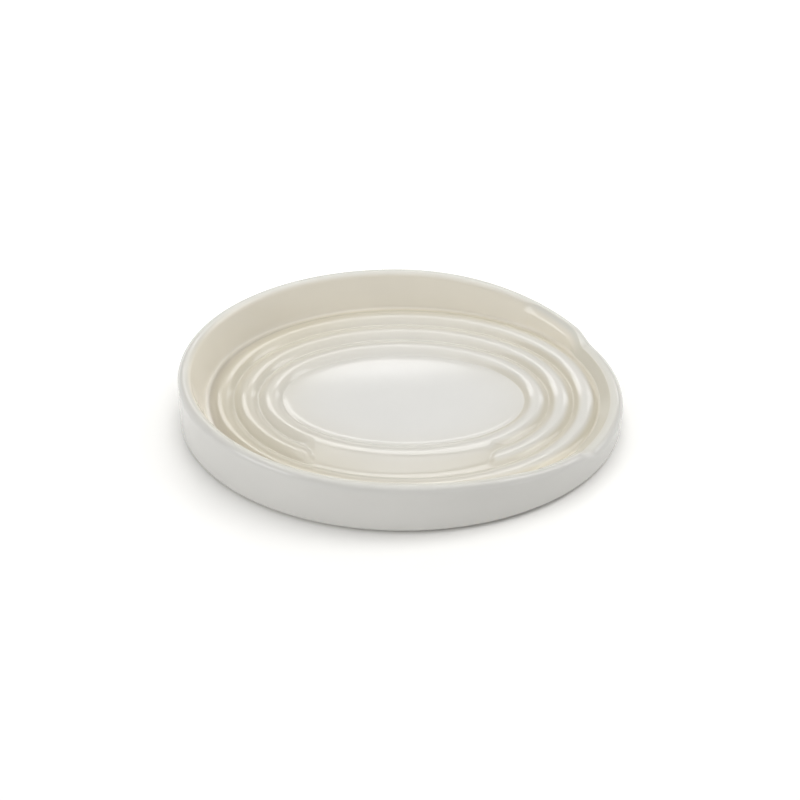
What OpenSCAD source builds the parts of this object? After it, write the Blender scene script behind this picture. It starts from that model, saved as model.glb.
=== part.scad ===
// Oval stoneware spoon rest: a shallow dish with rings in its floor and a low lip for the spoon's handle.
// The length lies along X with the lip at +X, the rings' bare band faces -Y, and the foot stands on Z = 0.

/* [Outline] */
// Length over the rim, along the spoon
rest_length = 160; // [145:1:180]
// Width over the rim
rest_width = 127; // [114:1:140]
// Height of the rim's crest above the table at the closed end
wall_height = 22.1; // [19:0.1:28]

/* [Floor] */
// How much deeper the well's middle is than its edge
well_dish = 0.6; // [0.2:0.1:1.5]
// Height of the grooves between the rings above the table
groove_height = 9.2; // [8:0.1:10]
// Distance from one groove to the next
ring_pitch = 8.85; // [7.5:0.05:9.2]
// Height of a ring above its grooves
ring_height = 1.4; // [0.6:0.1:1.8]
// How far the well and its rings lie from the middle towards the lip
ring_shift = 1; // [0:0.1:2]
// Length of the bare band where the middle ring is left out at the front
band_length = 61; // [30:1:70]
// Length of a ring's rounded end beside the band
band_ease = 4; // [3:0.5:8]
// Thickness of the floor under the grooves
floor_thickness = 5.2; // [4:0.1:6]

/* [Wall and rim] */
// Thickness of the rim, which is round on top
rim_thickness = 4.9; // [3:0.1:6]
// Slope of the inner wall
wall_slope = 69; // [60:1:75]
// Width of the level ledge between the last groove and the inner wall
wall_ledge = 2; // [1:0.1:3]
// Distance from the last groove to the rim's inside at the two ends, as a mean
end_margin = 5.05; // [4.5:0.05:7]
// The same at the two sides
side_margin = 6.3; // [5:0.05:8]
// Steady fall of the rim's crest from the closed end to the lip end
rim_fall = 1.9; // [0:0.1:2.5]
// Further dip of the rim's crest, growing from the middle to the lip end
rim_dip = 9.1; // [4:0.1:9.5]
// How far the outer wall leans in by its foot
wall_taper = 0.4; // [0:0.1:1]
// Radius of the outer wall's lower edge
edge_radius = 2.2; // [1.5:0.1:3.5]

/* [Handle lip] */
// Width of the opening in the wall, across the spoon's handle
lip_width = 65; // [40:1:75]
// Height of the lip's crest above the table
lip_height = 11.5; // [10.5:0.1:12.5]
// Length over which the wall's rounded ends drop to the lip
lip_ease = 7; // [4:0.5:12]
// Slope of the lip's inner face
lip_slope = 35; // [25:1:45]
// Width of the ledge at the foot of that face
lip_ledge = 0.8; // [0.4:0.1:1.5]
// Width of the lip's level top, inside its round outer half
lip_top = 2.1; // [1:0.1:2.5]
// Radius of the lip's inner edge
lip_edge = 0.8; // [0.7:0.1:1.5]
// Width over which the rim's inside has the lip's edge and slope, on past the lip's two ends
shoulder_width = 97; // [85:1:105]
// Length over which the round rim changes to that slope
shoulder_ease = 4; // [3:0.5:8]

/* [Foot] */
// Height of the bare foot ring below the outer wall
foot_height = 0.8; // [0.5:0.1:1.5]
// Distance from the rim's outside in to the foot ring
foot_inset = 4.8; // [4.6:0.1:7]
// Width of the foot ring
foot_width = 4; // [3:0.1:6]

/* [Glaze] */
// Thickness of the glaze
glaze = 0.4; // [0.3:0.05:0.6]

/* [Hidden] */

// Rings in the floor, counted outwards from the well, and the one that the bare band takes the place of
ring_count = 3;
banded_ring = 2;

// The band runs from the crest of the ring before it to its outer groove
band_inside = (banded_ring - 3 / 2) * ring_pitch;
band_outside = banded_ring * ring_pitch;

// Loops across the well, as shares of its radius
well_shares = [0.4, 0.75];

// Steps around the oval, over each ring, and over each quarter of the rim and of the lower edge
steps_around = 96;
ring_steps = 4;
rim_steps = 3;
edge_steps = 3;
angles = [for (i = [0 : steps_around - 1]) 360 * i / steps_around];

// Nearest that the inner wall's bend comes to its foot and to its top
least_bend_share = 0.2;
most_bend_share = 0.8;

// Rings, ledge, wall and rim surround the smooth well in the middle
rings_width = ring_count * ring_pitch;
well_length = rest_length - 2 * (rim_thickness + end_margin + rings_width);
well_width = rest_width - 2 * (rim_thickness + side_margin + rings_width);

rim_radius = rim_thickness / 2;
half_length = rest_length / 2;
recess_height = groove_height - floor_thickness;

// A climb from 0 to 1 with level ends
function eased(share) =
    let (s = max(0, min(1, share)))
    s * s * (3 - 2 * s);

function outward(angle) = [cos(angle), sin(angle)];

// The point of an oval where its outward direction has this angle
function oval(length, width, angle) =
    let (direction = outward(angle), reach = [length * direction.x, width * direction.y] / 2)
    [length * reach.x, width * reach.y] / 2 / norm(reach);

// Plan point of the floor, at a distance out from the well's edge
function floor_point(angle, out) =
    [ring_shift, 0] + oval(well_length, well_width, angle) + out * outward(angle);

// Plan point of the wall, at a distance out from the middle of the rim
function wall_point(angle, out) =
    oval(rest_length - rim_thickness, rest_width - rim_thickness, angle) + out * outward(angle);

// How much of the bare band there is here: 1 in the band, 0 clear of its ends
function band_share(p) =
    p.y < 0 ? 1 - eased((abs(p.x - ring_shift) - band_length / 2) / band_ease) : 0;

// Height of the rounded rings above their grooves
function ring_relief(out) = ring_height * abs(sin(180 * out / ring_pitch));

// The same where the bare band runs, a gentle slope from the crest inside it to the groove outside it
function band_relief(out) =
    let (share = (out - band_inside) / (band_outside - band_inside))
    share < 0 || share > 1 ? ring_relief(out) : ring_height * (1 - eased(share));

function relief(p, out) =
    let (share = band_share(p))
    ring_relief(out) * (1 - share) + band_relief(out) * share;

// Height of the wall's crest: it falls along the length, and dips as the square of the way past the middle
function wall_crest(p) =
    let (past = max(0, p.x) / half_length)
    wall_height - rim_fall * (p.x + half_length) / rest_length - rim_dip * past * past;

// How far the wall has changed at the lip's end of the dish: 1 across a width, 0 on the wall beyond it
function end_share(p, width, ease) =
    p.x > 0 ? eased((width / 2 - abs(p.y)) / ease + 1 / 2) : 0;

// How far the wall has dropped to the lip, and how far its rim has the lip's edge and slope
function lip_share(p) = end_share(p, lip_width, lip_ease);
function shoulder_share(p) = end_share(p, shoulder_width, shoulder_ease);

function blend(share, on_wall, on_lip) = on_wall * (1 - share) + on_lip * share;

function crest(p) = blend(lip_share(p), wall_crest(p), lip_height);
function foot_slope(p) = blend(lip_share(p), wall_slope, lip_slope);
function ledge(p) = blend(lip_share(p), wall_ledge, lip_ledge);
function level_top(p) = blend(lip_share(p), 0, lip_top);
function inner_slope(p) = blend(shoulder_share(p), wall_slope, lip_slope);
function inner_radius(p) = blend(shoulder_share(p), rim_radius, lip_edge);

// Each loop below runs once around the dish. Inset is the depth under the finished surface.

function well_loop(share, inset) = [
    for (angle = angles)
        let (p = [ring_shift, 0] + share * oval(well_length, well_width, angle))
        [p.x, p.y, groove_height - well_dish * (1 - share * share) - inset]
];

function floor_loop(out, inset) = [
    for (angle = angles)
        let (p = floor_point(angle, out))
        [p.x, p.y, groove_height + relief(p, out) - inset]
];

// The corner where the inner wall rises from its ledge
function corner_loop(inset) = [
    for (angle = angles)
        let (rim = wall_point(angle, 0), shift = inset * tan(foot_slope(rim) / 2))
        let (p = floor_point(angle, rings_width + ledge(rim) + shift))
        [p.x, p.y, groove_height - inset]
];

// Share goes from 1, where the inner wall ends in the rim's round inside, towards 0 on its crest
function shoulder_loop(share, inset) = [
    for (angle = angles)
        let (rim = wall_point(angle, 0), radius = inner_radius(rim) - inset, turn = inner_slope(rim) * share)
        let (p = wall_point(angle, -level_top(rim) - radius * sin(turn)))
        [p.x, p.y, crest(rim) - inner_radius(rim) + radius * cos(turn)]
];

// How far up the inner wall a steep line from its foot meets the lip's slope from its top
function bend_share(run, rise) =
    let (steep = tan(wall_slope), gentle = tan(lip_slope))
    max(least_bend_share, min(most_bend_share, (rise / run - gentle) / (steep - gentle)));

// How high the lower of those two lines is there, above the straight line from the foot to the top
function bend_height(run, rise) =
    let (share = bend_share(run, rise), from_foot = share * run * tan(wall_slope))
    let (from_top = rise - (1 - share) * run * tan(lip_slope))
    max(0, min(from_foot, from_top) - share * rise);

// The inner wall bends at the lip and beside it. Elsewhere it is straight from its foot to its top.
function bend_loop(inset) =
    let (feet = corner_loop(inset), tops = shoulder_loop(1, inset))
    [
        for (i = [0 : steps_around - 1])
            let (way = tops[i] - feet[i], run = norm([way.x, way.y]))
            let (height = shoulder_share(wall_point(angles[i], 0)) * bend_height(run, way.z))
            feet[i] + bend_share(run, way.z) * way + [0, 0, height]
    ];

// Turn goes from 90 on the rim's crest to 0 on its outside
function rim_loop(turn, inset) = [
    for (angle = angles)
        let (radius = rim_radius - inset, p = wall_point(angle, radius * cos(turn)))
        [p.x, p.y, crest(wall_point(angle, 0)) - rim_radius + radius * sin(turn)]
];

// Turn goes from 0 on the outer wall to 90 under it
function edge_loop(turn, inset) = [
    for (angle = angles)
        let (radius = edge_radius - inset)
        let (p = wall_point(angle, rim_radius - wall_taper - edge_radius + radius * cos(turn)))
        [p.x, p.y, foot_height + edge_radius - radius * sin(turn)]
];

function foot_loop(depth, height) = [
    for (angle = angles)
        let (p = wall_point(angle, rim_radius - depth))
        [p.x, p.y, height]
];

// From the well to the rim's crest
function inside_loops(inset) = concat(
    [for (share = well_shares) well_loop(share, inset)],
    [for (i = [0 : ring_count * ring_steps]) floor_loop(i * ring_pitch / ring_steps, inset)],
    [corner_loop(inset)],
    [bend_loop(inset)],
    [for (i = [rim_steps : -1 : 1]) shoulder_loop(i / rim_steps, inset)],
    [rim_loop(90, inset)]
);

// From just past the rim's crest to the foot ring
function outside_loops(inset) = concat(
    [for (i = [1 : rim_steps]) rim_loop(90 - 90 * i / rim_steps, inset)],
    [for (i = [0 : edge_steps]) edge_loop(90 * i / edge_steps, inset)],
    [foot_loop(foot_inset, foot_height + inset)]
);

function reversed(list) = [for (i = [len(list) - 1 : -1 : 0]) list[i]];

// Triangles between loops i and j
// A back face is cut along the other diagonal, so that it lies on a front face.
function band(i, j, back) = [
    for (k = [0 : steps_around - 1])
        let (next = (k + 1) % steps_around)
        let (a = i * steps_around + k, b = i * steps_around + next)
        let (c = j * steps_around + next, d = j * steps_around + k)
        each back ? [[a, b, d], [b, c, d]] : [[a, b, c], [a, c, d]]
];

// A solid whose skin runs along the front loops and returns along the back loops, with flat ends or none
module skin(front, back, flat_ends) {
    loops = concat(front, back);
    last = len(loops) - 1;
    bands = [for (i = [0 : last - 1]) each band(i, i + 1, i >= len(front))];
    bottom_end = [for (k = [steps_around - 1 : -1 : 0]) k];
    top_end = [for (k = [0 : steps_around - 1]) last * steps_around + k];
    closing = flat_ends ? [bottom_end, top_end] : band(last, 0, true);
    polyhedron([for (loop = loops) each loop], concat(bands, closing));
}

// The fired clay: dish, rings, wall, lip and the bare ring that it stands on
module stoneware_body() {
    foot = [
        foot_loop(foot_inset, 0),
        foot_loop(foot_inset + foot_width, 0),
        foot_loop(foot_inset + foot_width, recess_height + glaze)
    ];
    color("#d8ccb6")
        skin(concat(inside_loops(glaze), outside_loops(glaze), foot), [], true);
}

// Cream glaze over the well, the rings and the inner wall, up to the rim's crest
module inside_glaze() {
    color("#ece4d0")
        skin(inside_loops(0), reversed(inside_loops(glaze)), true);
}

// White glaze over the rim's outer half and the outer wall, down to the foot ring
module outside_glaze() {
    color("#eeece6")
        skin(
            concat([rim_loop(90, 0)], outside_loops(0)),
            reversed(concat([rim_loop(90, glaze)], outside_loops(glaze))),
            false
        );
}

// White glaze on the ceiling of the recess inside the foot ring
module underside_glaze() {
    outline = [for (p = foot_loop(foot_inset + foot_width, recess_height)) [p.x, p.y]];
    color("#eeece6")
        translate([0, 0, recess_height])
            linear_extrude(glaze)
                polygon(outline);
}

stoneware_body();
inside_glaze();
outside_glaze();
underside_glaze();
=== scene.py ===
import math

import bpy
import numpy as np
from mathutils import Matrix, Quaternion, Vector


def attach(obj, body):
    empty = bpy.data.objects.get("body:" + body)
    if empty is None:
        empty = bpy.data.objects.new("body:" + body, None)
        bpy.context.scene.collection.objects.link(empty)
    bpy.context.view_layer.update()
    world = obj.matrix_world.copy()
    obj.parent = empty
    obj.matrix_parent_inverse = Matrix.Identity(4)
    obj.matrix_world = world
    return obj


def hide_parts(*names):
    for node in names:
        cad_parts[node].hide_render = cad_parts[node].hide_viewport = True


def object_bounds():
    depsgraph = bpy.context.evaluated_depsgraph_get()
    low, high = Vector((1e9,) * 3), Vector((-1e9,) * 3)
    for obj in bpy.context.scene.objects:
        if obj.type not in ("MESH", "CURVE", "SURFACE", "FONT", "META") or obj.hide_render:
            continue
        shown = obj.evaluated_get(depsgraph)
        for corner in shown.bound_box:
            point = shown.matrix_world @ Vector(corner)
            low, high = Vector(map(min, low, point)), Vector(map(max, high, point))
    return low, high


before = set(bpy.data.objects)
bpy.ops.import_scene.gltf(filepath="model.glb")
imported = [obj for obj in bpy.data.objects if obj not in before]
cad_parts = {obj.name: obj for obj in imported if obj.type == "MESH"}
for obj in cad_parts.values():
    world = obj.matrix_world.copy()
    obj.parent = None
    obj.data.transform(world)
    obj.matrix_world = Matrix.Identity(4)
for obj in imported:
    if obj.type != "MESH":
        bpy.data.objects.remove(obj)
cad_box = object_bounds()

# Stoneware body
# The fired clay: an oval dish pressed in one piece, with three low rings around a smooth well, a wall that
# sinks to a low lip for the spoon's handle, and a bare ring under it that the dish stands on.

MM = 0.001

rest_length, rest_width, _ = cad_box[1] - cad_box[0]
wall_height = 22.1 * MM
well_length = 87 * MM
well_width = 51.5 * MM
well_dish = 0.6 * MM
well_turn = 0.3 * MM
well_turn_width = 1.6 * MM
groove_height = 9.2 * MM
ring_count = 3
ring_pitch = 8.85 * MM
ring_height = 1.4 * MM
ring_shift = 1 * MM
band_length = 61 * MM
band_tip = 4 * MM
band_ease = 9 * MM
band_inside = ring_pitch / 2
band_outside = 2 * ring_pitch
rim_radius = 4.9 / 2 * MM
rim_fall = 1.9 * MM
rim_dip = 9.1 * MM
wall_taper = 0.4 * MM
edge_radius = 2.2 * MM
lip_width = 65 * MM
lip_height = 11.5 * MM
lip_ease = 7 * MM
lip_top = 2.1 * MM
lip_edge = 0.8 * MM
wall_slope = math.radians(69)
lip_slope = math.radians(35)
wall_ledge = 2 * MM
lip_ledge = 0.8 * MM
shoulder_width = 97 * MM
shoulder_ease = 4 * MM
least_bend_share = 0.2
most_bend_share = 0.8
floor_thickness = 5.2 * MM
foot_height = 0.8 * MM
foot_inset = 4.8 * MM
foot_width = 4 * MM
glaze_depth = 0.4 * MM
recess_height = groove_height - floor_thickness

steps_around = 480
well_steps = 20
ring_steps = 96
ledge_steps = 8
wall_steps = 20
wall_passes = 6
rim_steps = 24
edge_steps = 12
trace_step = 0.2 * MM
sharp_angle = math.radians(40)
lip_top_share = 0.4

angles = np.linspace(0, 2 * np.pi, steps_around, endpoint=False)
outward = np.stack([np.cos(angles), np.sin(angles)], -1)


def steps(count):
    """Shares from 0 to 1 in a count of equal steps, one to a row."""
    return np.linspace(0, 1, count + 1)[:, None]


def eased(share):
    """A climb from 0 to 1 with level ends: three squares of the share less two cubes."""
    share = np.clip(share, 0, 1)
    return share * share * (3 - 2 * share)


def oval(length, width):
    """An oval's plan points where its outward directions are the steps around: the half axes squared times
    the direction, over the length of the half axes times the direction."""
    half_axes = np.array([length, width]) / 2
    reach = outward * half_axes
    return reach * half_axes / np.linalg.norm(reach, axis=-1, keepdims=True)


def raised(plan, height):
    """Plan points with their heights, as points in space."""
    return np.concatenate([plan, np.broadcast_to(height, plan.shape[:-1])[..., None]], -1)


def between(first, last, count):
    """Rows in equal steps along straight lines from the first row to the last, without those two."""
    return first + steps(count)[1:-1, :, None] * (last - first)


def levelled(rows, passes):
    """Rows rounded off across: each pass moves a row to a quarter of each neighbour and half of itself."""
    rows = rows.copy()
    for _ in range(passes):
        rows[1:-1] = (rows[:-2] + 2 * rows[1:-1] + rows[2:]) / 4
    return rows


def beneath(rows, depth):
    """The surface a depth under another, along the normal: the step across the rows crossed with the step
    along them."""
    along = np.roll(rows, -1, 1) - np.roll(rows, 1, 1)
    normal = np.cross(np.gradient(rows, axis=0), along)
    return rows - depth * normal / np.linalg.norm(normal, axis=-1, keepdims=True)


well_edge = oval(well_length, well_width)
rim_line = oval(rest_length - 2 * rim_radius, rest_width - 2 * rim_radius)


def arc_height(across):
    """Height of a ring at a distance across from its crest: a round arc that ends in the grooves."""
    half = ring_pitch / 2
    radius = (half ** 2 + ring_height ** 2) / (2 * ring_height)
    return np.sqrt(radius ** 2 - np.minimum(across, half) ** 2) - radius + ring_height


def floor_relief(plan, out):
    """Height above the grooves: a round arc over each ring. Where the bare band runs at the front, the
    middle ring stops in domed tips, and a gentle slope goes from the first ring's crest to the second
    ring's outer groove."""
    across = np.abs(np.mod(out, ring_pitch) - ring_pitch / 2)
    past_tip = (np.abs(plan[..., 0] - ring_shift) - band_length / 2) / band_tip
    before = np.where((out > ring_pitch) & (out < 2 * ring_pitch) & (plan[..., 1] < 0), 1 - past_tip, 0)
    rings = arc_height(np.hypot(across, np.maximum(0, before) * ring_pitch / 2))
    slope = (out - band_inside) / (band_outside - band_inside)
    band = ring_height * (1 - eased(slope)) * (slope > 0) * (plan[..., 1] < 0)
    return np.maximum(rings, band * (1 - eased(past_tip * band_tip / band_ease)))


def end_share(width, ease):
    """How far the wall has changed at the lip's end of the dish, as steps around: 1 across a width, 0
    beyond it, and a smooth change over an ease between."""
    return (rim_line[:, 0] > 0) * eased((width / 2 - np.abs(rim_line[:, 1])) / ease + 1 / 2)


lip_share = end_share(lip_width, lip_ease)
shoulder_share = end_share(shoulder_width, shoulder_ease)


def along_rim(on_wall, on_lip, share=lip_share):
    """A value around the rim that has one size on the wall and another on the lip."""
    return on_wall + (on_lip - on_wall) * share


past_middle = np.maximum(0, rim_line[:, 0]) / (rest_length / 2)
wall_crest = wall_height - rim_fall * (rim_line[:, 0] / rest_length + 1 / 2) - rim_dip * past_middle ** 2
rim_crest = along_rim(wall_crest, lip_height)


def rim_inside(share):
    """Rows over the rim's inner half, at shares from 1, where the wall ends, to 0 on the crest. A round
    edge turns by the wall's slope, and on the lip a level top follows it."""
    radius = along_rim(rim_radius, lip_edge, shoulder_share)
    rounded = along_rim(share, np.maximum(0, (share - lip_top_share) / (1 - lip_top_share)))
    turn = along_rim(wall_slope, lip_slope, shoulder_share) * rounded
    across = radius * np.sin(turn) + along_rim(0, lip_top) * np.minimum(1, share / lip_top_share)
    return raised(rim_line - across[..., None] * outward, rim_crest - radius * (1 - np.cos(turn)))


def rim_outside(turn):
    """Rows over the rim's round outer half, at turns from its outside: a quarter turn is its crest."""
    out = rim_radius * np.cos(turn)[..., None] * outward
    return raised(rim_line + out, rim_crest + rim_radius * (np.sin(turn) - 1))


def wall_inside(foot, top):
    """Rows up the wall's inside, from its foot to its top, along one straight line. At the lip and beside
    it, the wall is the lower of two lines: a steep one up from the foot and the lip's slope down from the
    top, which meet in a rounded bend."""
    run = np.linalg.norm(top[:, :2] - foot[:, :2], axis=-1)
    rise = top[:, 2] - foot[:, 2]
    steep, gentle = math.tan(wall_slope), math.tan(lip_slope)
    meet = np.clip((rise - gentle * run) / (steep - gentle) / run, least_bend_share, most_bend_share)
    lower_line = np.minimum(steep * meet * run, rise - gentle * (1 - meet) * run)
    bend = foot + meet[:, None] * (top - foot)
    bend[:, 2] += shoulder_share * np.maximum(0, lower_line - meet * rise)
    half = wall_steps // 2
    rows = [foot[None], between(foot, bend, half), bend[None], between(bend, top, half), top[None]]
    return levelled(np.concatenate(rows), wall_passes)


def inside_face():
    """The inside from the well to the rim's crest: well, rings, a level ledge, the sloping wall, the rim."""
    share = np.sin(steps(well_steps)[1:-1] * np.pi / 2)
    from_edge = (1 - share) * np.linalg.norm(well_edge, axis=-1)
    turned = np.maximum(0, 1 - from_edge / well_turn_width) ** 2
    height = groove_height - well_dish * (1 - share ** 2) + well_turn * (1 - turned)
    well = raised(share[..., None] * well_edge + (ring_shift, 0), height)
    out = steps(ring_steps) * ring_count * ring_pitch
    plan = well_edge + (ring_shift, 0) + out[..., None] * outward
    rings = raised(plan, groove_height + floor_relief(plan, out))
    wall_foot = raised(plan[-1] + along_rim(wall_ledge, lip_ledge)[:, None] * outward, groove_height)
    ledge = between(rings[-1], wall_foot, ledge_steps)
    rim = rim_inside(1 - steps(rim_steps))
    return np.concatenate([well, rings, ledge, wall_inside(wall_foot, rim[0]), rim[1:]])


def outside_face():
    """The outside from the rim's crest, down the wall, round its lower edge and in to the foot ring."""
    rim = rim_outside(np.pi / 2 * (1 - steps(rim_steps) ** 2) + 0 * angles)
    turn = steps(edge_steps) * np.pi / 2
    out = rim_radius - wall_taper - edge_radius * (1 - np.cos(turn))
    edge = raised(rim_line + out[..., None] * outward, foot_height + edge_radius * (1 - np.sin(turn)))
    foot = raised(rim_line + (rim_radius - foot_inset) * outward, foot_height)[None]
    flat = between(edge[-1], foot[0], edge_steps)
    return np.concatenate([rim, between(rim[-1], edge[0], wall_steps), edge, flat, foot])


def thinned(rows, step):
    """Every so many rows, counted back from the last one, which stays."""
    return rows[::-step][::-1]


def traced(corners):
    """Points a trace step apart along straight lines between corners."""
    corners = np.array(corners)
    length = np.append(0, np.cumsum(np.linalg.norm(np.diff(corners, axis=0), axis=-1)))
    at = np.linspace(0, length[-1], round(length[-1] / trace_step) + 1)
    return np.stack([np.interp(at, length, axis) for axis in corners.T], -1)


def skin(name, rows, ends=None):
    """A closed mesh over rows that each run once around the dish. Four-sided faces join each row to the
    next. Fans to two end points close the first and last rows, and without them the last row joins the
    first."""
    index = np.arange(len(rows) * steps_around).reshape(-1, steps_around)
    upper, lower = (index, np.roll(index, -1, 0)) if ends is None else (index[:-1], index[1:])
    corners = [upper, lower, np.roll(lower, -1, 1), np.roll(upper, -1, 1)]
    faces = np.stack(corners, -1).reshape(-1, 4).tolist()
    points = rows.reshape(-1, 3)
    if ends is not None:
        points = np.vstack([points, ends])
        first, last = index[0], index[-1]
        start, stop = np.full_like(first, index.size), np.full_like(last, index.size + 1)
        faces += np.stack([start, first, np.roll(first, -1)], -1).tolist()
        faces += np.stack([stop, np.roll(last, -1), last], -1).tolist()
    mesh = bpy.data.meshes.new(name)
    mesh.from_pydata(points, [], faces)
    mesh.shade_smooth()
    mesh.set_sharp_from_angle(angle=sharp_angle)
    piece = bpy.data.objects.new(name, mesh)
    bpy.context.scene.collection.objects.link(piece)
    return piece


def linear(colour):
    """An sRGB hex colour as linear red, green and blue, and full cover."""
    srgb = np.array([int(colour[i:i + 2], 16) for i in (1, 3, 5)]) / 255
    rgb = np.where(srgb <= 0.04045, srgb / 12.92, ((srgb + 0.055) / 1.055) ** 2.4)
    return (*rgb.tolist(), 1.0)


def add(tree, kind, values, links, **settings):
    """Adds a node to a tree: its settings, its sockets' values, and its links from other nodes' outputs."""
    node = tree.nodes.new("ShaderNode" + kind)
    for name, value in settings.items():
        setattr(node, name, value)
    for socket, value in values.items():
        node.inputs[socket].default_value = value
    for socket, (source, output) in links.items():
        tree.links.new(source.outputs[output], node.inputs[socket])
    return node


def new_tree(name, target):
    """An empty node tree of a new material on an object's mesh."""
    material = bpy.data.materials.new(name)
    material.use_nodes = True
    material.node_tree.nodes.clear()
    target.data.materials.append(material)
    return material.node_tree


# Passes that round off the inside, the outside and the foot ring
inside_passes = 2
outside_passes = 4
foot_passes = 6

inside = levelled(inside_face(), inside_passes)
outside = levelled(outside_face(), outside_passes)
outside_depth = np.full(len(outside), glaze_depth)
outside_depth[-edge_steps:] *= 1 - eased(np.linspace(0, 1, edge_steps))
clay_inside = beneath(inside, glaze_depth)
clay_outside = beneath(outside, outside_depth[:, None, None])

foot_out = rim_radius - foot_inset
foot_in = foot_out - foot_width
ceiling_height = recess_height + glaze_depth
foot_corners = [(foot_out, foot_height), (foot_out, 0), (foot_in, 0), (foot_in, ceiling_height)]
foot_profile = levelled(traced(foot_corners), foot_passes)[1:]
foot = raised(rim_line + foot_profile[:, :1, None] * outward, foot_profile[:, 1:])
ceiling_middle = np.array([0, 0, ceiling_height])
ceiling = between(foot[-1], ceiling_middle, edge_steps)
well_middle = np.array([ring_shift, 0, groove_height - well_dish + well_turn])
clay_middle = well_middle - (0, 0, glaze_depth)

# The clay's face under the inside glaze is hidden, so it needs fewer rows than the glaze
clay_step = 3
body_rows = np.concatenate([thinned(clay_inside, clay_step), clay_outside[1:], foot, ceiling])
body = skin("stoneware_body", body_rows, [clay_middle, ceiling_middle])

# Buff stoneware, fired without glaze: matt, with a fine sandy grain and small darker specks
grain_size = 0.6 * MM
grain_depth = 0.1 * MM
speck_size = 1.5 * MM
speck_shades = [(0.32, "#B3A182"), (0.42, "#D8CCB2")]
tree = new_tree("buff stoneware, unglazed", body)
place = add(tree, "TexCoord", {}, {})
grain = add(tree, "TexNoise", {"Scale": 1 / grain_size, "Detail": 3}, {"Vector": (place, "Object")})
specks = add(tree, "TexNoise", {"Scale": 1 / speck_size, "Detail": 1}, {"Vector": (place, "Object")})
colour = add(tree, "ValToRGB", {}, {"Fac": (specks, "Fac")})
for stop, (position, shade) in zip(colour.color_ramp.elements, speck_shades):
    stop.position = position
    stop.color = linear(shade)
bump = add(tree, "Bump", {"Strength": 0.5, "Distance": grain_depth}, {"Height": (grain, "Fac")})
links = {"Base Color": (colour, "Color"), "Normal": (bump, "Normal")}
clay = add(tree, "BsdfPrincipled", {"Roughness": 0.85, "IOR": 1.5}, links)
add(tree, "OutputMaterial", {}, {"Surface": (clay, "BSDF")})

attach(body, "root")
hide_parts("stoneware_body")

# Inside glaze
# A glossy coat of coloured glass fired onto the clay, white in the well and cream towards the wall. It is
# swirled up to the rim's crest, and lies thicker in the grooves than on the rings.

well_white = "#E8E7E3"
ring_cream = "#DED9CB"
groove_cream = "#D8D1BE"
# Painted shade: a greyer cream for the last groove at the left, in the left wall's shadow
left_groove_shade = "#C8C2B6"
wall_cream = "#F4EEDF"
lip_cream = "#DCD7C8"
crest_white = "#E2E0D7"
# Crest white towards the lip: glaze thinned on the crests, and a painted highlight
bare_white_and_highlight = "#E5E3DC"
first_ring_share = 0.4
# How much deeper the glaze colour is painted towards the left, which is painted shade
left_shade_gain = 0.6
bare_and_highlight_height = 0.5 * ring_height


def tint(first, last, share):
    """Linear colours a share of the way from one to another. Each is a hex colour or an array of colours."""
    first, last = [np.array(linear(c)[:3]) if isinstance(c, str) else c for c in (first, last)]
    return first + (last - first) * np.asarray(share)[..., None]


# The glaze deepens from the middle of the well to the last ring. Towards the left it is painted deeper
# still, which is painted shade. It is deepest in the last groove, partly where the glaze pools and partly as
# painted shade at the wall's foot, and at the left it is painted greyer there, as painted shade in the left
# wall's shadow. Towards the lip it has run off the rings' crests into the grooves, and the whiter crests
# there are also a painted highlight, but the well stays as it is. It is pale again on the rim's crest, and
# on the slope beside the lip.
on_floor = inside[:well_steps + ring_steps]
depth = np.concatenate([
    first_ring_share * np.sin(steps(well_steps)[1:-1] * np.pi / 2) ** 4,
    first_ring_share + (1 - first_ring_share) * steps(ring_steps),
])
depth = depth * (1 + left_shade_gain * eased(-2 * on_floor[..., 0] / well_length))
floor_colour = tint(well_white, ring_cream, depth)
past_crest = np.maximum(0, 1 - (1 - steps(ring_steps)) * 2 * ring_count)
# At the left the last groove is painted greyer, as painted shade in the left wall's shadow
toward_left = eased(-2 * rim_line[:, 0] / rest_length)
last_groove = tint(groove_cream, left_groove_shade, toward_left)
# The last groove is painted deeper: partly glaze that pools there, and partly painted shade at the wall's
# foot
floor_colour[-ring_steps - 1:] = tint(floor_colour[-ring_steps - 1:], last_groove, past_crest)
# Towards the lip the crests are painted whiter: partly glaze that ran off them, and partly a painted
# highlight where they catch the light
bare_and_highlight = eased((on_floor[..., 2] - groove_height - bare_and_highlight_height) / (ring_height - bare_and_highlight_height))
toward_lip = eased(2 * on_floor[..., 0] / rest_length)
toward_lip[:well_steps - 1] = 0
floor_colour = tint(floor_colour, tint(groove_cream, bare_white_and_highlight, bare_and_highlight), toward_lip)
wall_colour = tint(wall_cream, lip_cream, lip_share)
ledge_colour = tint(floor_colour[-1], wall_colour, steps(ledge_steps)[1:])
up_wall = steps(wall_steps)[1:-1]
beside_lip = np.maximum(0, shoulder_share - lip_share)
wall_colour = tint(wall_colour, crest_white, eased(2 * up_wall - 1) * beside_lip)
rim_colour = tint(wall_colour[-1], crest_white, eased(steps(rim_steps)))
inside_colour = np.concatenate([floor_colour, ledge_colour, wall_colour, rim_colour])

# Its back lies on the clay and has fewer rows, from the rim's crest to the well
back_step = 5
back = thinned(clay_inside, back_step)[::-1]
back_colour = thinned(inside_colour, back_step)[::-1]
cream = skin("inside_glaze", np.concatenate([inside, back]), [well_middle, clay_middle])


def set_colour(piece, colour):
    """Stores the glaze's colour at each point of a piece's rows, and the first one at its ends."""
    colour = colour.reshape(-1, 3)
    points = np.ones((len(piece.data.vertices), 4), np.float32)
    points[:, :3] = colour[0]
    points[:len(colour), :3] = colour
    attribute = piece.data.attributes.new("glaze colour", "FLOAT_COLOR", "POINT")
    attribute.data.foreach_set("color", points.ravel())


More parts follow.
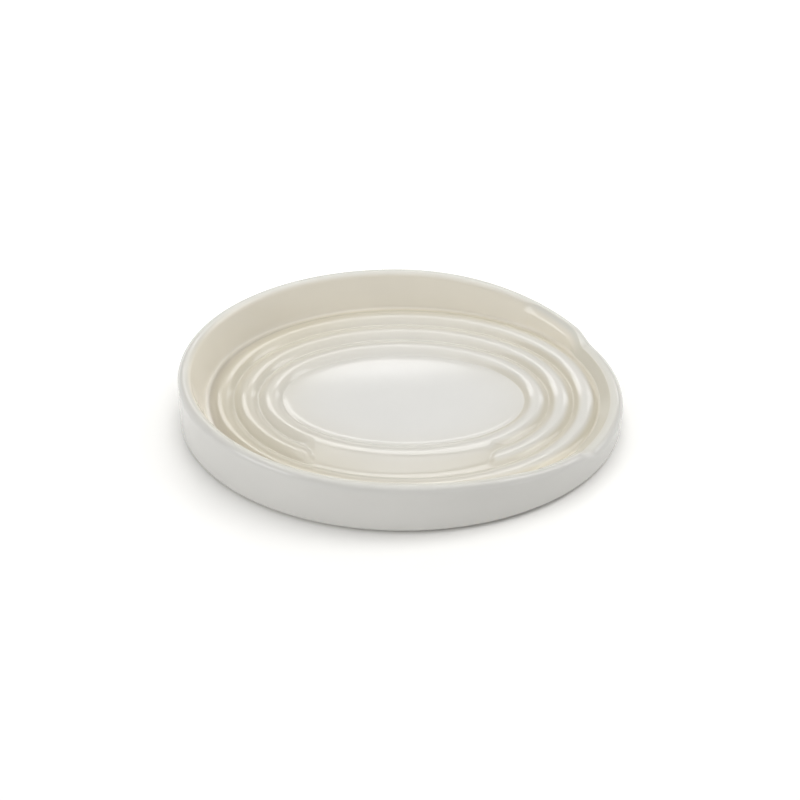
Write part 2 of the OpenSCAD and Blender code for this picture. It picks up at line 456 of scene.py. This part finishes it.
def glaze(name, piece):
    """A glossy fired glaze: its colour has faint clouds, and its face has the slow waves of glass that
    flowed and set."""
    cloud_size = 18 * MM
    cloud_least = 0.97
    cloud_gain = 0.06
    wave_size = 14 * MM
    wave_depth = 0.1 * MM
    tree = new_tree(name, piece)
    place = add(tree, "TexCoord", {}, {})
    clouds = add(tree, "TexNoise", {"Scale": 1 / cloud_size, "Detail": 2}, {"Vector": (place, "Object")})
    values = {1: cloud_gain, 2: cloud_least}
    faint = add(tree, "Math", values, {0: (clouds, "Fac")}, operation="MULTIPLY_ADD")
    plain = add(tree, "Attribute", {}, {}, attribute_name="glaze colour")
    links = {0: (plain, "Color"), "Scale": (faint, "Value")}
    colour = add(tree, "VectorMath", {}, links, operation="SCALE")
    waves = add(tree, "TexNoise", {"Scale": 1 / wave_size, "Detail": 0}, {"Vector": (place, "Object")})
    bump = add(tree, "Bump", {"Strength": 0.3, "Distance": wave_depth}, {"Height": (waves, "Fac")})
    links = {"Base Color": (colour, "Vector"), "Normal": (bump, "Normal")}
    glass = add(tree, "BsdfPrincipled", {"Roughness": 0.07, "IOR": 1.52}, links)
    add(tree, "OutputMaterial", {}, {"Surface": (glass, "BSDF")})


set_colour(cream, np.concatenate([inside_colour, back_colour]))
glaze("cream stoneware glaze", cream)
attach(cream, "root")
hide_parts("inside_glaze")

# Outside glaze
# The same glaze in white over the rim's outer half and the outer wall. The dish is dipped, and the glaze is
# wiped back to the foot ring, where it thins to nothing.

outer_white = "#DFDEDA"
white = skin("outside_glaze", np.concatenate([outside, clay_outside[::-1]]))
from_crest = np.ones(outside.shape[:2])
from_crest[:rim_steps + 1] = eased(steps(rim_steps))
outside_colour = tint(crest_white, outer_white, from_crest)
set_colour(white, np.concatenate([outside_colour, outside_colour[::-1]]))
glaze("white stoneware glaze", white)
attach(white, "root")
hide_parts("outside_glaze")

# Underside glaze
# White glaze on the ceiling of the shallow recess inside the foot ring. It gathers against the ring in a
# small hollow round.

hollow = 1.2 * MM
recess_edge = raised(rim_line + foot_in * outward, recess_height)
turn = steps(edge_steps) * np.pi / 2
inset = hollow * (1 - np.cos(turn))
drop = hollow * (1 - np.sin(turn))
round_edge = raised(recess_edge[:, :2] - inset[..., None] * outward, recess_height - drop)
recess_middle = np.array([0, 0, recess_height])
face = between(round_edge[-1], recess_middle, edge_steps)
top_edge = recess_edge + (0, 0, glaze_depth)
top = between(ceiling_middle, top_edge, edge_steps)
underside_rows = np.concatenate([top, top_edge[None], round_edge, face])
underside = skin("underside_glaze", underside_rows, [ceiling_middle, recess_middle])
set_colour(underside, np.full(underside_rows.shape, linear(outer_white)[:3]))
glaze("white stoneware glaze, underside", underside)
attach(underside, "root")
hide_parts("underside_glaze")

# Studio
# A white table that runs on into a white room. Soft boxes light the dish from above, from the front and from
# both sides, and the glaze shines with the panel and the strips behind it.

floor_half = 3.0
floor_mesh = bpy.data.meshes.new("table")
floor_sides = [(-1, -1), (1, -1), (1, 1), (-1, 1)]
floor_corners = [(x * floor_half, y * floor_half, 0) for x, y in floor_sides]
floor_mesh.from_pydata(floor_corners, [], [(0, 1, 2, 3)])
table = bpy.data.objects.new("table", floor_mesh)
bpy.context.scene.collection.objects.link(table)


def seen(tree):
    """1 for what the camera sees, also in gloss or through glass, and 0 for light that falls on the dish."""
    path = add(tree, "LightPath", {}, {})
    links = {0: (path, "Is Camera Ray"), 1: (path, "Is Glossy Ray")}
    mirrored = add(tree, "Math", {}, links, operation="MAXIMUM")
    links = {0: (mirrored, "Value"), 1: (path, "Is Transmission Ray")}
    return add(tree, "Math", {}, links, operation="MAXIMUM")


# Matt white paint, which glows brighter than it is lit, so that it is white and keeps the lamps' shadow. The
# glow is taken away in a narrow edge around the dish, which paints a darker contact shadow there.
table_white = "#F6F5F2"
table_lift = 0.25
painted_shadow_reach = 9 * MM
tree = new_tree("white table top", table)
paint = add(tree, "BsdfDiffuse", {"Color": linear(table_white)}, {})
# Painted shadow: how open the table is near the dish, which scales the glow down at the contact
open_share = add(tree, "AmbientOcclusion", {"Distance": painted_shadow_reach}, {})
links = {0: (seen(tree), "Value"), 1: (open_share, "AO")}
shown = add(tree, "Math", {}, links, operation="MULTIPLY")
lift = add(tree, "Math", {1: table_lift}, {0: (shown, "Value")}, operation="MULTIPLY")
glow = add(tree, "Emission", {"Color": linear("#FFFFFF")}, {"Strength": (lift, "Value")})
both = add(tree, "AddShader", {}, {0: (paint, "BSDF"), 1: (glow, "Emission")})
add(tree, "OutputMaterial", {}, {"Surface": (both, "Shader")})

# The room is bright at the horizon and dim above it. It changes between two heights of the view's direction.
horizon_light = 0.95
room_light = 0.15
horizon_low = 0.2
horizon_high = 0.32
world = bpy.data.worlds.new("white room")
bpy.context.scene.world = world
world.use_nodes = True
tree = world.node_tree
tree.nodes.clear()
toward = add(tree, "TexCoord", {}, {})
up = add(tree, "SeparateXYZ", {}, {"Vector": (toward, "Generated")})
heights = {"From Min": horizon_low, "From Max": horizon_high}
lights = {"To Min": horizon_light, "To Max": room_light}
light = add(tree, "MapRange", heights | lights, {"Value": (up, "Z")})
room = add(tree, "Background", {"Color": linear("#FFFFFF")}, {"Strength": (light, "Result")})
add(tree, "OutputWorld", {}, {"Surface": (room, "Background")})


def direction(azimuth, elevation):
    """A direction from the dish: azimuth 0 is to the front and 90 to the lip, and elevation is upwards."""
    a, e = math.radians(azimuth), math.radians(elevation)
    return Vector((math.sin(a) * math.cos(e), -math.cos(a) * math.cos(e), math.sin(e)))


def aimed(name, data, target, toward, distance, roll=0):
    """A lamp or camera at a distance from a target in a direction, looking back at it, rolled on its aim."""
    thing = bpy.data.objects.new(name, data)
    thing.location = Vector(target) + distance * toward
    turn = Quaternion((0, 0, 1), math.radians(roll))
    thing.rotation_euler = ((-toward).to_track_quat("-Z", "Y") @ turn).to_euler()
    bpy.context.scene.collection.objects.link(thing)
    return thing


# Each soft box has an azimuth and elevation in degrees, a distance, width and height in metres, a roll in
# degrees, and a brightness beside the white of the room
soft_boxes = {
    "overhead_box": (158, 79, 3.0, 2.6, 2.6, 0, 1.56),
    "front_box": (0, 62, 3.0, 1.4, 0.85, 0, 1.1),
    "back_panel": (180, 37, 3.0, 2.2, 0.9, 0, 0.8),
    "back_strip": (188, 45.4, 0.82, 0.45, 0.14, -18, 3.2),
    "right_strip": (156.7, 33.9, 1.31, 0.4, 0.12, 36, 2.0),
    "right_box": (106, 45, 3.0, 1.3, 1.9, 0, 2.8),
    "left_box": (-60, 30, 3.0, 1.5, 1.3, 0, 3.6),
}
for name, (azimuth, elevation, distance, width, height, roll, brightness) in soft_boxes.items():
    lamp = bpy.data.lights.new(name, "AREA")
    lamp.shape = "RECTANGLE"
    lamp.size = width
    lamp.size_y = height
    lamp.energy = math.pi * width * height * brightness
    box = aimed(name, lamp, (0, 0, 0), direction(azimuth, elevation), distance, roll)
    box.visible_camera = False

# Camera
# A long lens, in front of the dish and above it. Its angles are in degrees, as the soft boxes' are.

camera = bpy.data.cameras.new("camera")
camera.sensor_width = 36
camera.lens = 147.15
camera_target = (-0.306 * MM, 0, 8.96 * MM)
camera_distance = 1178.4 * MM
camera_azimuth = 1.14
camera_elevation = 39.36
toward = direction(camera_azimuth, camera_elevation)
bpy.context.scene.camera = aimed("camera", camera, camera_target, toward, camera_distance)

bpy.context.scene.view_settings.view_transform = "Standard"
